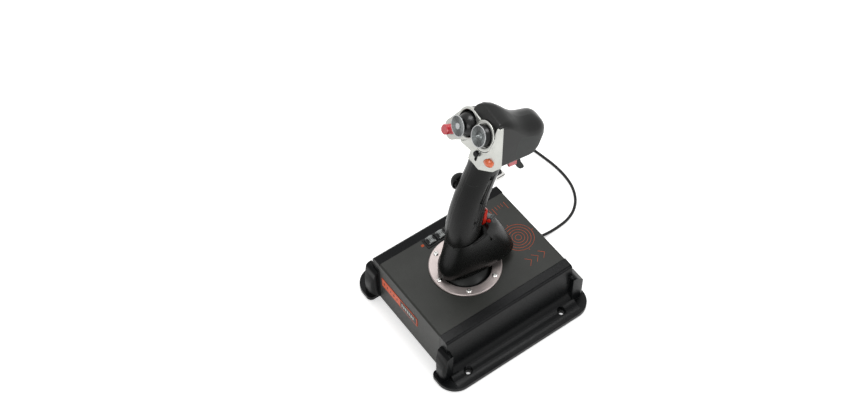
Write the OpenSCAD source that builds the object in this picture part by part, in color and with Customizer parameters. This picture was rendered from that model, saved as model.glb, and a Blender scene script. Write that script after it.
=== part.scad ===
// Flight joystick: a spring-centred stick with two thumb hats, buttons, a trigger and a
// little-finger lever, on a base of folded sheet between two cast sides.
// Millimetres. +X is the user's right, +Y is away from the user, +Z is up.
// The origin is the middle of the base at table level.

/* [Base] */
// Width over the two shoulders
base_w = 137; // [134:1:141]
// Depth of the folded cover, front to rear
base_d = 168; // [164:1:174]
// Height of the top panel above the table
base_h = 65; // [64:0.5:68]
// Width of the folded centre cover
cover_w = 111; // [108:1:114]
// Thickness of the folded sheet
sheet_t = 2; // [1.5:0.1:2.5]
// Wall of the cast sides
cast_t = 3; // [2.5:0.1:3.5]
// Height of the castings' lower edge above the table
foot_gap = 1; // [0.8:0.1:1.4]
// Running gap between the cover and a casting
seam_gap = 0.2; // [0.1:0.05:0.4]
// How far a flange stands out from the shoulder
flange_w = 25; // [23:0.5:28]
// Thickness of a flange
flange_t = 5; // [4:0.5:7]
// Radius of the flange's outer corners
flange_r = 22; // [16:1:24]
// Radius of the concave sweep from side wall to flange
sweep_r = 18; // [14:1:20]
// How far a corner ear stands out in front of the cover
ear_reach = 13.5; // [11:0.5:15]
// How far the flange stands out behind the cover
rear_reach = 17; // [14:0.5:18]
// Height of a corner ear
ear_h = 44; // [40:1:50]
// Width of a corner ear
ear_w = 18; // [17:1:22]
// Distance of a table screw hole from the middle, across
mount_x = 80; // [78:0.5:82]
// Distance of a table screw hole from the middle, front to rear
mount_y = 64; // [58:1:68]
// Radius of a table screw hole
mount_r = 2.75; // [2.2:0.05:3.2]
// Radius of the pad under a table screw hole
pad_r = 6.5; // [5:0.5:9]
// Radius of the spot face round a table screw hole
spot_r = 5; // [4:0.5:6]
// Thickness of the bottom plate
plate_t = 2.5; // [2:0.1:3]
// Radius of a rubber foot
foot_r = 8; // [6:0.5:10]
// Thickness of a rubber foot
foot_t = 1.6; // [1.4:0.1:1.8]

/* [Ring and gimbal] */
// Distance of the stick's axis in front of the base's middle
stick_back = 9.5; // [7:0.5:12]
// Height of the tilting centre above the table
pivot_h = 36; // [35:0.5:37]
// Outer radius of the trim ring
ring_ro = 40; // [39:0.5:42]
// Inner radius of the trim ring
ring_ri = 29.1; // [29:0.1:30]
// Height of the trim ring above the panel
ring_t = 2.5; // [2:0.1:3]
// Radius of the circle of ring screws
ring_pcd_r = 34.5; // [34:0.1:36]
// Shank radius of the small screws
screw_r = 1.5; // [1.2:0.1:1.6]
// Radial clearance of a screw in its hole
screw_clear = 0.05; // [0.03:0.01:0.1]
// Outer radius of the dust dome
dome_r = 38.4; // [38:0.2:39]
// Thickness of the dust dome
dome_t = 1.6; // [1.2:0.1:2]
// Radius of the pitch trunnions
trunnion_r = 4; // [3.5:0.1:4.5]
// Radius of the roll pins
roll_pin_r = 3; // [2.5:0.1:3.5]
// Radial clearance of a shaft in its bearing
run_clear = 0.03; // [0.02:0.01:0.06]
// Wall of a bearing bush
bush_t = 2; // [1.5:0.1:2.2]
// Radius of the stick's shaft
shaft_r = 6; // [5:0.5:6.5]

/* [Stick] */
// Height of the seam between hand rest and grip
seam_h = 131; // [130:0.5:132]
// Height of the lower edge of the head
head_h = 236.5; // [236:0.25:237]
// Wall of the moulded shells
shell_t = 2.5; // [2:0.1:3]
// Radius of the dome of the left thumb hat
hat_r = 12.6; // [12:0.1:13]
// Radius of the thumb dish on a hat
dish_r = 11; // [9:0.2:11.5]
// Distance of the left dish from its hat's centre
dish_h = 14; // [13:0.2:15]
// Wall of the cup behind a hat
collar_t = 1.6; // [1.2:0.1:2]
// Outer radius of the ring round the left hat
left_ring_r = 16.5; // [16:0.1:17]
// Outer radius of the ring round the right hat
right_ring_r = 15.7; // [15:0.1:16]
// Radius of the lobe under the red button
lobe_r = 10.9; // [10:0.1:12]
// Radius of the red button
red_r = 5.3; // [5:0.1:6]
// Radius of the orange button
orange_r = 5.2; // [5:0.1:6]
// Radius of the knob on the left of the grip
knob_r = 9.6; // [8.5:0.1:10]
// Radius of the thumbwheels in the panel
wheel_r = 6.4; // [6:0.1:6.5]
// Width of a thumbwheel
wheel_w = 9; // [7:0.5:10]

/* [Cord] */
// Diameter of the USB cord
cord_d = 3.4; // [3.2:0.1:3.6]
// Distance of the cord's gland from the middle, to the left
gland_x = 14; // [10:0.5:18]
// Height of the cord's gland
gland_h = 9; // [8:0.5:11]
// Length of the cord's strain relief behind the base
gland_l = 18; // [14:1:20]

/* [Hidden] */
$fn = 64;
eps = 0.01;

// ---- base, derived ----
half_w = base_w / 2;
half_d = base_d / 2;
half_cover = cover_w / 2;
flange_x = half_w + flange_w;
ear_in = half_cover + 2.5;
plate_top = foot_gap + plate_t;
flange_top = foot_gap + flange_t;
panel_under = base_h - sheet_t;
screw_hole_r = screw_r + screw_clear;
boss_x = half_cover + 5;
boss_y = half_d - 14;
pivot = [0, -stick_back, pivot_h];

// ---- gimbal, derived ----
yoke_x = 26;
yoke_y = 22;
yoke_wall = 6;
yoke_h = 12;
bush_r = trunnion_r + run_clear + bush_t;
roll_bush_r = roll_pin_r + run_clear + bush_t;
upright_x = yoke_x + 5;
upright_t = 6;
sensor_l = 7;

// ---- thumb hats, derived ----
hat_sunk = 3;
left_hole_r = hat_r + 1.2;
right_hole_r = hat_r - 1.7 + 1.1;
post_r = 2.6;
pivot_ri = 3.2;
pivot_ro = 4.6;
ear_gap = 5.2;
hat_pin_r = 1;
board_t = 1.6;
nose_button_at = [10.3, 25.3, 230.5];
finger_at = [5, 24.5, 207];
pinky_at = [10.4, 118];
pinky_button_at = [5, 16.6, 131.8];
pinky_button_n = [0.42, -0.81, 0.41];

// ---- helpers ----
// Turns +Z to the direction n at the point p
module place(p, n)
    translate(p) rotate([0, acos(n[2] / norm(n)), atan2(n[1], n[0])]) children();

// Closed skin over a list of rings that all have the same number of points
module loft(rings) {
    n = len(rings[0]);
    m = len(rings);
    faces = concat(
        [[for (i = [0:n-1]) i]],
        [[for (i = [0:n-1]) m*n - 1 - i]],
        [for (k = [0:m-2], i = [0:n-1]) [k*n + i, (k+1)*n + i, (k+1)*n + (i+1) % n]],
        [for (k = [0:m-2], i = [0:n-1]) [k*n + i, (k+1)*n + (i+1) % n, k*n + (i+1) % n]]);
    polyhedron(points = [for (r = rings, p = r) p], faces = faces);
}
// Signed power, which squares off an ellipse
function spow(v, e) = sign(v) * pow(abs(v), 2 / e);
// Level ring: middle [0, yc], half-width a, half-depths to front and rear, squareness of each.
// It rises towards the rear and is level again 6 mm behind its middle
function level_ring(z, yc, a, front, rear, ef, er, n = 36, slope = 0) =
    [for (i = [0:n-1]) let (t = 360*i/n, e = sin(t) > 0 ? er : ef, s = spow(sin(t), e),
        y = yc + (s > 0 ? rear : front)*s) [a * spow(cos(t), e), y, z + slope * min(y - yc, 6)]];

// Tube of radius r and n sides along a path that is never upright
function unit(v) = v / norm(v);
function path_dir(p, i) = unit(p[min(i+1, len(p)-1)] - p[max(i-1, 0)]);
function tube_ring(p, i, r, n) = let (d = path_dir(p, i), s = unit(cross(d, [0, 0, 1])),
    u = cross(d, s)) [for (k = [0:n-1]) p[i] + r*(cos(360*k/n)*s + sin(360*k/n)*u)];
module tube(p, r, n) loft([for (i = [0:len(p)-1]) tube_ring(p, i, r, n)]);

// Coil spring along +Z between heights z0 and z1, measured at the wire's middle
module spring(r, wire, z0, z1, turns) {
    steps = 14;
    total = steps * turns;
    rings = [for (j = [0:total]) let (a = 360*j/steps, z = z0 + (z1 - z0)*j/total)
        [for (k = [0:5]) let (q = 360*k/6)
            [(r + wire*cos(q))*cos(a), (r + wire*cos(q))*sin(a), z + wire*sin(q)]]];
    n = 6;
    m = len(rings);
    faces = concat([[for (i = [n-1:-1:0]) i]], [[for (i = [0:n-1]) (m-1)*n + i]],
        [for (k = [0:m-2], i = [0:n-1]) [k*n + i, (k+1)*n + (i+1) % n, (k+1)*n + i]],
        [for (k = [0:m-2], i = [0:n-1]) [k*n + i, k*n + (i+1) % n, (k+1)*n + (i+1) % n]]);
    polyhedron(points = [for (g = rings, p = g) p], faces = faces);
}
module along_x(p, l) translate(p) rotate([0, 90, 0]) children();
module x_rod(p, r, l) translate(p) rotate([0, 90, 0]) cylinder(r = r, h = l);
module y_rod(p, r, l) translate(p) rotate([-90, 0, 0]) cylinder(r = r, h = l);
// Box given by its lowest corner and its highest
module span(lo, hi) translate(lo) cube(hi - lo);

// ---- base ----
ring_screw_angles = [for (k = [0:5]) 30 + 60*k];
boss_places = [for (sx = [-1, 1], y = [-boss_y, 0, boss_y]) [sx*boss_x, y]];
foot_places = [for (sx = [-1, 1], sy = [-1, 1]) [sx*(half_cover - 6), sy*(half_d - 18)]];
frame_x = upright_x + upright_t;
frame_y = 24;
frame_screw_places = [for (sx = [-1, 1], sy = [-1, 1])
    [sx*(upright_x - 6), -stick_back + sy*(frame_y - 5)]];

wheel_x = -half_cover + 7.5;
wheel_rise = 5.2;
wheel_z = base_h + wheel_rise - wheel_r;
wheel_front_y = -20.6;
wheel_rear_y = -7.2;
wheel_gap = 0.3;
wheel_mid_y = (wheel_front_y + wheel_rear_y) / 2;
wheel_span_y = wheel_rear_y - wheel_front_y + 2*wheel_r + 2;
wheel_in = wheel_x - wheel_w/2 - wheel_gap - 1.4;
wheel_out = wheel_x + wheel_w/2 + wheel_gap + 1.4;

// Section through a cast side: shoulder, side wall and sweep, without its flange's end
module side_section() {
    wall_x = half_w + 2.5;
    sweep_z = flange_top + sweep_r;
    polygon(concat(
        [[half_cover + seam_gap, base_h], [half_w - 3.2, base_h - 0.5],
         [half_w - 1.1, base_h - 1.2], [half_w, base_h - 3.4]],
        [for (a = [180:10:270]) [wall_x + sweep_r + sweep_r*cos(a), sweep_z + sweep_r*sin(a)]],
        [[flange_x - flange_r, foot_gap], [half_cover + seam_gap, foot_gap]]));
}
// Plan of a flange with its rounded outer corners
module flange_plan() {
    front = -half_d - ear_reach;
    rear = half_d + rear_reach;
    translate([ear_in + 6, front]) square([flange_x - flange_r - ear_in - 6, rear - front]);
    translate([ear_in, front + 6]) square([8, rear - front - 12]);
    translate([flange_x - flange_r, front + flange_r]) square([flange_r,
        rear - front - 2*flange_r]);
    for (e = [[front, 1], [rear, -1]]) {
        intersection() {
            translate([flange_x - flange_r, e[0] + e[1]*flange_r]) circle(r = flange_r);
            translate([ear_in + 5, -200]) square([100, 400]);
        }
        translate([ear_in + 6, e[0] + 6*e[1]]) circle(r = 6);
    }
}
// Plan of a corner ear that reaches out by r, shrunk by g
module ear_plan(reach, g) {
    r = 7 - g;
    y0 = half_d - cast_t + (g > 0 ? cast_t + 0.5 : 0);
    y1 = half_d + reach - 1.5 - g;
    x0 = ear_in + g;
    x1 = ear_in + ear_w - g;
    translate([x0, y0]) square([x1 - x0, y1 - r - y0]);
    translate([x0 + r, y0]) square([x1 - x0 - 2*r, y1 - y0]);
    for (x = [x0 + r, x1 - r]) translate([x, y1 - r]) circle(r = r);
}
// Side view of a corner ear: it swells downwards from the shoulder
module ear_side(reach, g) rotate([90, 0, 90]) linear_extrude(200)
    polygon([[half_d - 10, foot_gap - 1], [half_d - 10, ear_h + 4 - g],
        [half_d + 1 - g, ear_h + 4 - g], [half_d + 4.5 - g, ear_h + 1.5 - g],
        [half_d + reach - 5.5 - g, ear_h - 6 - g], [half_d + reach - 2.6 - g, ear_h - 13],
        [half_d + reach - 1.5 - g, ear_h - 22], [half_d + reach - 1.5 - g, foot_gap - 1]]);
module ear(reach, g) intersection() {
    translate([0, 0, foot_gap - (g > 0 ? 1 : 0)]) linear_extrude(80) ear_plan(reach, g);
    ear_side(reach, g);
}
module side_casting() {
    difference() {
        union() {
            translate([0, half_d, 0]) rotate([90, 0, 0])
                linear_extrude(base_d) side_section();
            translate([0, 0, foot_gap]) linear_extrude(flange_t) flange_plan();
            mirror([0, 1, 0]) ear(ear_reach - 2, 0);
            ear(rear_reach, 0);
            // pads that stand on the table round its screws
            for (s = [-1, 1]) translate([mount_x, s*mount_y, 0]) cylinder(r = pad_r, h = foot_gap + 1);
        }
        // hollow under the shoulder, open towards the cover
        span([half_cover - eps, -half_d + cast_t, foot_gap - 1],
             [half_w - cast_t, half_d - cast_t, base_h - cast_t - 1]);
        mirror([0, 1, 0]) ear(ear_reach - 2, cast_t);
        ear(rear_reach, cast_t);
        for (s = [-1, 1]) translate([mount_x, s*mount_y, 0]) {
            translate([0, 0, -1]) cylinder(r = mount_r, h = 40);
            translate([0, 0, flange_top - 1]) cylinder(r = spot_r, h = 40);
        }
    }
    difference() {
        union() {
            // ledge that carries the cover's edge
            span([half_cover - 6, -half_d + sheet_t, panel_under - cast_t],
                 [half_cover + cast_t, half_d - sheet_t, panel_under]);
            for (y = [-boss_y, 0, boss_y]) translate([boss_x, y, plate_top])
                cylinder(r = 4, h = panel_under - plate_top);
        }
        for (y = [-boss_y, 0, boss_y]) translate([boss_x, y, plate_top - 1])
            cylinder(r = screw_hole_r, h = 14);
    }
}
module right_side_casting() color("#23262a") side_casting();
module left_side_casting() color("#23262a") difference() {
    mirror([1, 0, 0]) side_casting();
    span([-half_cover - 0.7, wheel_mid_y - wheel_span_y/2 - 1, panel_under - 8],
         [-half_cover + 8, wheel_mid_y + wheel_span_y/2 + 1, panel_under + 1]);
}

module center_cover() color("#2c2d2b") {
    bend = 2.5;
    difference() {
        translate([-half_cover, 0, 0]) rotate([90, 0, 90]) linear_extrude(cover_w) {
            translate([-half_d, foot_gap]) square([base_d, base_h - foot_gap - bend]);
            translate([-half_d + bend, foot_gap]) square([base_d - 2*bend, base_h - foot_gap]);
            for (s = [-1, 1]) translate([s*(half_d - bend), base_h - bend]) circle(r = bend);
        }
        span([-half_cover - 1, -half_d + sheet_t, foot_gap - 1],
             [half_cover + 1, half_d - sheet_t, panel_under]);
        translate([0, -stick_back, panel_under - 1]) cylinder(r = ring_ri + 2, h = sheet_t + 2);
        for (a = ring_screw_angles) translate([ring_pcd_r*cos(a), ring_pcd_r*sin(a) - stick_back,
            panel_under - 1]) cylinder(r = screw_hole_r, h = sheet_t + 2);
        span([wheel_in - 0.2, wheel_mid_y - wheel_span_y/2 + 0.8, panel_under - 1],
             [wheel_out + 0.2, wheel_mid_y + wheel_span_y/2 - 0.8, base_h + 1]);
        y_rod([-gland_x, half_d - sheet_t - 1, gland_h], 4.1, sheet_t + 2);
    }
}
module bottom_plate() color("#34363a") difference() {
    span([-half_w + cast_t + 0.3, -half_d + cast_t + 0.3, foot_gap],
         [half_w - cast_t - 0.3, half_d - cast_t - 0.3, plate_top]);
    for (p = boss_places) translate([p[0], p[1], 0]) {
        translate([0, 0, -1]) cylinder(r = screw_hole_r, h = 10);
        translate([0, 0, -1]) cylinder(r = 3.2, h = 1 + foot_gap + 1.4);
    }
    for (p = foot_places) translate([p[0], p[1], -1]) cylinder(r = foot_r + 0.2, h = 1 + foot_t);
    for (p = frame_screw_places) translate([p[0], p[1], 0])
        cylinder(r = screw_hole_r, h = 10);
}
module bottom_screws() color("silver") for (p = boss_places) translate([p[0], p[1], 0]) {
    translate([0, 0, foot_gap + 0.1]) difference() {
        cylinder(r = 3, h = 1.3);
        translate([0, 0, -eps]) cylinder(r = 1.2, h = 0.8, $fn = 6);
    }
    translate([0, 0, foot_gap + 1]) cylinder(r = screw_r, h = 11);
}
module rubber_feet() color("#1b1b1b") for (p = foot_places)
    translate([p[0], p[1], 0]) cylinder(r = foot_r, h = foot_t);

module front_label() color("#c8551f")
    span([-51, -half_d - 0.5, 31.5], [15, -half_d, 45.5]);

module trim_ring() color("#b5a9a6") translate([0, -stick_back, base_h]) difference() {
    rotate_extrude() polygon([[ring_ri, 0], [ring_ro, 0], [ring_ro, ring_t - 0.8],
        [ring_ro - 0.8, ring_t], [ring_ri + 0.6, ring_t], [ring_ri, ring_t - 0.6]]);
    for (a = ring_screw_angles) rotate(a) translate([ring_pcd_r, 0, -1])
        cylinder(r = screw_hole_r, h = ring_t + 2);
}
module ring_backing() color("#8c8f92") translate([0, -stick_back, panel_under - 3]) difference() {
    cylinder(r = ring_ro, h = 3);
    translate([0, 0, -1]) cylinder(r = ring_ri + 2.6, h = 5);
    for (a = ring_screw_angles) rotate(a) translate([ring_pcd_r, 0, -1])
        cylinder(r = screw_hole_r, h = 5);
}
module ring_screws() color("#d9d9d6") for (a = ring_screw_angles)
    translate([0, -stick_back, base_h + ring_t]) rotate(a) translate([ring_pcd_r, 0, 0]) {
        difference() {
            union() {
                cylinder(r = 2.75, h = 0.9);
                translate([0, 0, 0.9]) cylinder(r1 = 2.75, r2 = 1.9, h = 0.8);
            }
            translate([0, 0, 0.8]) cylinder(r = 1.1, h = 2, $fn = 6);
        }
        translate([0, 0, -ring_t - sheet_t - 3]) cylinder(r = screw_r, h = ring_t + sheet_t + 3.2);
    }

// ---- gimbal ----
module gimbal_frame() color("#9a9c9e") difference() {
    union() {
        span([-frame_x, -stick_back - frame_y, plate_top], [frame_x, -stick_back + frame_y,
            plate_top + 4]);
        for (s = [-1, 1]) {
            span([s > 0 ? upright_x : -frame_x, -stick_back - 8, plate_top],
                 [s > 0 ? frame_x : -upright_x, -stick_back + 8, pivot_h]);
            x_rod([s > 0 ? upright_x : -frame_x, -stick_back, pivot_h], 8, upright_t);
        }
    }
    x_rod([-frame_x - 1, -stick_back, pivot_h], bush_r, 2*frame_x + 2);
    for (p = frame_screw_places) translate([p[0], p[1], 0]) cylinder(r = screw_hole_r, h = 20);
}
module frame_screws() color("silver") for (p = frame_screw_places) translate([p[0], p[1], 0]) {
    translate([0, 0, plate_top + 4]) difference() {
        cylinder(r = 2.75, h = 2);
        translate([0, 0, 1]) cylinder(r = 1.2, h = 2, $fn = 6);
    }
    translate([0, 0, foot_gap + 0.2]) cylinder(r = screw_r, h = plate_t + 4);
}
module pitch_bearings() color("#b08d4f") for (x = [-frame_x, upright_x])
    difference() {
        x_rod([x, -stick_back, pivot_h], bush_r, upright_t);
        x_rod([x - 1, -stick_back, pivot_h], trunnion_r + run_clear, upright_t + 2);
    }
module pitch_springs() color("#8f9296") for (s = [0, 1]) mirror([s, 0, 0])
    along_x([0, -stick_back, pivot_h]) spring(trunnion_r + 0.9, 0.6, yoke_x + 0.8,
        upright_x - 0.8, 3);
module pitch_sensor() color("#2f4f7a") difference() {
    span([frame_x, -stick_back - 6, pivot_h - 7], [frame_x + sensor_l, -stick_back + 6,
        pivot_h + 7]);
    x_rod([frame_x - 1, -stick_back, pivot_h], trunnion_r + run_clear, sensor_l - 1);
}
module gimbal_yoke() color("#7d8084") {
    difference() {
        span([-yoke_x, -stick_back - yoke_y, pivot_h - yoke_h/2],
             [yoke_x, -stick_back + yoke_y, pivot_h + yoke_h/2]);
        span([-yoke_x + yoke_wall, -stick_back - yoke_y + yoke_wall, pivot_h - yoke_h],
             [yoke_x - yoke_wall, -stick_back + yoke_y - yoke_wall, pivot_h + yoke_h]);
        y_rod([0, -stick_back - yoke_y - 1, pivot_h], roll_bush_r, 2*yoke_y + 2);
    }
    x_rod([yoke_x - 1, -stick_back, pivot_h], trunnion_r, frame_x + sensor_l - 3 - yoke_x);
    x_rod([-frame_x, -stick_back, pivot_h], trunnion_r, frame_x - yoke_x + 1);
}
module roll_bearings() color("#b08d4f") for (y = [-yoke_y, yoke_y - yoke_wall]) difference() {
    y_rod([0, -stick_back + y, pivot_h], roll_bush_r, yoke_wall);
    y_rod([0, -stick_back + y - 1, pivot_h], roll_pin_r + run_clear, yoke_wall + 2);
}
module roll_spring() color("#8f9296") translate([0, -stick_back, pivot_h]) rotate([-90, 0, 0])
    spring(roll_pin_r + 0.7, 0.5, hub + 0.7, yoke_y - yoke_wall - 0.7, 4);
module roll_sensor() color("#2f4f7a") difference() {
    span([-7, -stick_back + yoke_y, pivot_h - 6], [7, -stick_back + yoke_y + sensor_l,
        pivot_h + 6]);
    y_rod([0, -stick_back + yoke_y - 1, pivot_h], roll_pin_r + run_clear, sensor_l - 2);
}

// ---- stick ----
hub = 9;
dome_seat_h = pivot_h + sqrt(pow(dome_r - dome_t, 2) - hub*hub);
rest_shelf_h = 112;
shaft_top = 150;
module stick_shaft() color("#a7aaad") translate([0, -stick_back, 0]) {
    span([-hub, -hub, pivot_h - 7], [hub, hub, pivot_h + 7]);
    translate([0, 0, pivot_h]) cylinder(r = shaft_r, h = shaft_top - pivot_h);
    translate([0, 0, dome_seat_h - 4.2]) cylinder(r = hub, h = 4);
    translate([0, 0, rest_shelf_h - 4]) cylinder(r = shaft_r + 4, h = 4);
    y_rod([0, -yoke_y, pivot_h], roll_pin_r, 2*yoke_y + sensor_l - 3);
}
module dust_dome() color("#171817") translate(pivot) difference() {
    sphere(r = dome_r, $fn = 96);
    sphere(r = dome_r - dome_t, $fn = 96);
    translate([-60, -60, -80 + dome_r*cos(58)]) cube([120, 120, 80]);
    cylinder(r = shaft_r + screw_clear, h = 60);
}

// Levels of the hand rest: height, widest place, half-width, front and rear edge, squareness
// of its rear half, rise per millimetre towards the rear
rest_levels = [[74, 15, 20.4, -41.5, 45.5, 3, 0.035], [76, 15, 22.4, -43, 47.6, 3, 0.035],
    [85, 10, 22.4, -41.6, 44.9, 2.8, 0.03], [96, 4, 21.4, -38.8, 40.7, 2.6, 0.06],
    [107, -2, 20.2, -35.8, 35.9, 2.5, 0.1], [117, -7, 19.2, -33.6, 31.2, 2.4, 0.16],
    [125, -10, 18.4, -32.2, 26.5, 2.3, 0.22], [seam_h, -12, 17.9, -31.4, 17.6, 2.2, 0.24]];
function rest_ring(l, g, dz) = level_ring(l[0] + dz, l[1], l[2] - g, l[1] - l[3] - g,
    l[4] - l[1] - g, 2.3, l[5], 40, l[6]);
module hand_rest() color("#1e1f1e") difference() {
    union() {
        loft([for (l = rest_levels) rest_ring(l, 0, 0)]);
        // barrel of the small button
        place(pinky_button_at, pinky_button_n) translate([0, 0, -11]) cylinder(r = 2.9, h = 11);
    }
    // hollow above the dust dome
    intersection() {
        loft([for (l = rest_levels) rest_ring(l, shell_t, -1)]);
        span([-40, -60, 60], [40, 60, rest_shelf_h]);
    }
    translate([0, -stick_back, 100]) cylinder(r = shaft_r + screw_clear, h = 60);
    grip_form(0.1, seam_h - 7, seam_h + 12);
    // slot of the little-finger lever
    span([-5.4, 5.8, seam_h - 17], [5.4, 14.8, seam_h + 12]);
    x_rod([-20, pinky_at[0], pinky_at[1]], pin_r + run_clear, 40);
    place(pinky_button_at, pinky_button_n) translate([0, 0, -7]) cylinder(r = 2.1, h = 10);
}

// Levels of the grip: height, middle, half-width and half-depth to front and to rear
grip_levels = [[seam_h - 7, -13, 16.6, 19, 16.8], [seam_h + 3, -13, 17, 19.8, 17.5],
    [150, -11.6, 17, 20, 17.9], [170, -8, 16.6, 19.6, 18.1], [190, -2.6, 16.2, 18.8, 18.2],
    [208, 4.2, 15.8, 18, 18], [224, 10.8, 15.4, 17.6, 17.6], [head_h + 4, 15.5, 15.4, 17.6, 17.6]];
module grip_form(g, lo, hi) intersection() {
    loft([for (l = grip_levels) level_ring(l[0] + (l[0] < seam_h ? -g : g), l[1], l[2] + g,
        l[3] + g, l[4] + g, 2.2, 2.2)]);
    span([-40, -60, lo], [40, 60, hi]);
}
grip_screw_places = [[-10, 162], [-2.6, 190], [9, 220]];
module grip_half(s) difference() {
    union() {
        difference() {
            grip_form(0, seam_h - 7, head_h - 0.3);
            grip_form(-shell_t, seam_h + 2, head_h - 6);
            translate([0, 12, head_h - 12]) cylinder(r = 6, h = 20);
        }
        intersection() {
            grip_form(-0.5, seam_h - 7, head_h);
            union() {
                for (p = grip_screw_places) x_rod([-20, p[0], p[1]], 3.5, 40);
                translate([0, -stick_back, seam_h]) cylinder(r = shaft_r + 2.5, h = 14);
            }
        }
    }
    translate([0, -stick_back, 100]) cylinder(r = shaft_r + screw_clear, h = shaft_top - 99.9);
    for (p = grip_screw_places) {
        x_rod([-12, p[0], p[1]], 1.2 + screw_clear, 40);
        x_rod([11.5, p[0], p[1]], 2.4, 20);
    }
    span([s > 0 ? -60 : 0, -60, 0], [s > 0 ? 0 : 60, 60, 300]);
}
knob_at = [-17.2, -5.4, 191.5];
module grip_left() color("#232423") difference() {
    union() {
        grip_half(-1);
        x_rod([knob_at[0] + 0.6, knob_at[1], knob_at[2]], knob_r - 1.5, 5);
    }
    x_rod([-30, knob_at[1], knob_at[2]], 3 + run_clear, 20);
}
module grip_right() color("#232423") difference() {
    grip_half(1);
    y_rod([finger_at[0], finger_at[1] - 12, finger_at[2]], 3.2, 20);
}
module grip_screws() color("#4a4a4a") for (p = grip_screw_places) {
    difference() {
        x_rod([11.6, p[0], p[1]], 2.2, 1.6);
        x_rod([12.4, p[0], p[1]], 1, 2, $fn = 6);
    }
    x_rod([-10, p[0], p[1]], 1.2, 22);
}

// ---- head ----
// The head is turned a little to the left, and its parts are drawn in its own frame
head_yaw = -7;
module in_head() translate([0, 10, 0]) rotate([0, 0, head_yaw]) children();
seam_y = 9;
function corner(x, z, r, a) = [for (k = [0:6]) [x + r*cos(a + 15*k), z + r*sin(a + 15*k)]];
// Ring across the head: distance, bottom, top, left, right, then the radii of its corners at
// upper right, below and at upper left
function head_ring(s, g) = let (b = s[1] + g, t = s[2] - g, l = s[3] + g, r = s[4] - g,
    u = s[5] - 0.8*g, v = s[6] - 0.8*g, w = s[7] - 0.8*g, p = concat(corner(r - u, t - u, u, 0),
    corner(l + w, t - w, w, 90), corner(l + v, b + v, v, 180), corner(r - v, b + v, v, 270)))
    [for (i = [27:-1:0]) [p[i][0], s[0], p[i][1]]];
head_sections = [[seam_y, head_h, 299.5, -22, 20, 5, 4, 11],
    [16, head_h, 297.8, -21.4, 20.2, 7, 4, 14.5], [22, head_h, 294, -20.4, 20.3, 9, 4, 18],
    [28, head_h, 289.2, -18.6, 20.3, 11.5, 4, 21.5], [34, 236.3, 285, -17.4, 20.3, 14, 4, 22],
    [40, 236, 281.7, -16.7, 20.2, 15.6, 4, 20.8], [46, 236.2, 279.3, -16.4, 20, 16.2, 5, 19.6],
    [51, 239, 277, -16, 19.4, 16, 9, 17.6], [55, 243, 274.6, -14.6, 18, 14, 12.5, 14.6],
    [58.5, 248.5, 271, -12, 15.8, 10.6, 10.6, 10.6], [61, 254, 267, -8.4, 12.4, 6.2, 6.2, 6.2],
    [62, 258, 263, -3.4, 7.4, 2.2, 2.2, 2.2]];
// Levels of the face: height, then where its left side and two front corners and right side lie
face_levels = [[head_h, -20, -1, -7.4, -13.4, 10.4, -12, -3.4],
    [247, -20.4, -1, -7.6, -10.2, 11, -8.2, -1.8], [260, -21.4, -1, -9, -4.8, 12, -3.6, -1],
    [284, -22, 0, -12, -2, 12, -1.8, -0.6], [296.4, -22, 3.6, -12, 3, 12, 3, 3.4]];
function face_ring(l, g, dz) = [for (p = [[20, seam_y + g], [l[1], seam_y + g], [l[1], l[2]],
    [l[3], l[4]], [l[5], l[6]], [18.5, l[7]], [20, l[7] + 2.2]])
    [p[0] - sign(p[0])*g, p[1] + (p[1] < seam_y ? 1.1*g : 0), l[0] + dz]];

// Thumb hats, with the ring round each one set in the same tilted plane
face_n = [0, -0.907, 0.42];
right_ring_at = [6.2, -4.2, 279];
left_ring_at = [-20.8, -6.3, 271.5];
left_axis = unit([0, -0.95, 0.31]);
right_hat_at = right_ring_at - hat_sunk*face_n;
left_hat_at = left_ring_at - hat_sunk*face_n + [0, -0.5, -1.1];
left_dish_h = dish_h;
right_dish_h = dish_h - 4.6;
red_at = [-36.8, -15.6, 251.5];
orange_at = [16.1, -3.9, 248];
orange_n = unit([0.55, -0.83, 0.06]);
slider_at = [1.8, -8.9, 250];
slider_n = unit([0.1, -0.9, 0.36]);
cup_deep = 12.5;
wing_deep = 14;
rim_deep = 3;

// The silver wing that carries the left hat and the red button
module wing(g, deep) hull() {
    place(left_ring_at, face_n) translate([0, 0, -deep]) cylinder(r = left_ring_r - g,
        h = deep - 0.6, $fn = 32);
    place(red_at, face_n) translate([0, 0, -deep]) cylinder(r = lobe_r - g, h = deep, $fn = 32);
}
module face_web() hull() {
    place(left_ring_at, face_n) translate([0, 0, -3.5]) cylinder(r = left_ring_r - 0.5, h = 1.5,
        $fn = 32);
    for (p = [[-20.5, -13, 247.8], [-7.2, -9, 246.6], [2, -8.4, 247.5], [4, -2.6, 266]]) translate(p)
        sphere(r = 1, $fn = 16);
}
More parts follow.
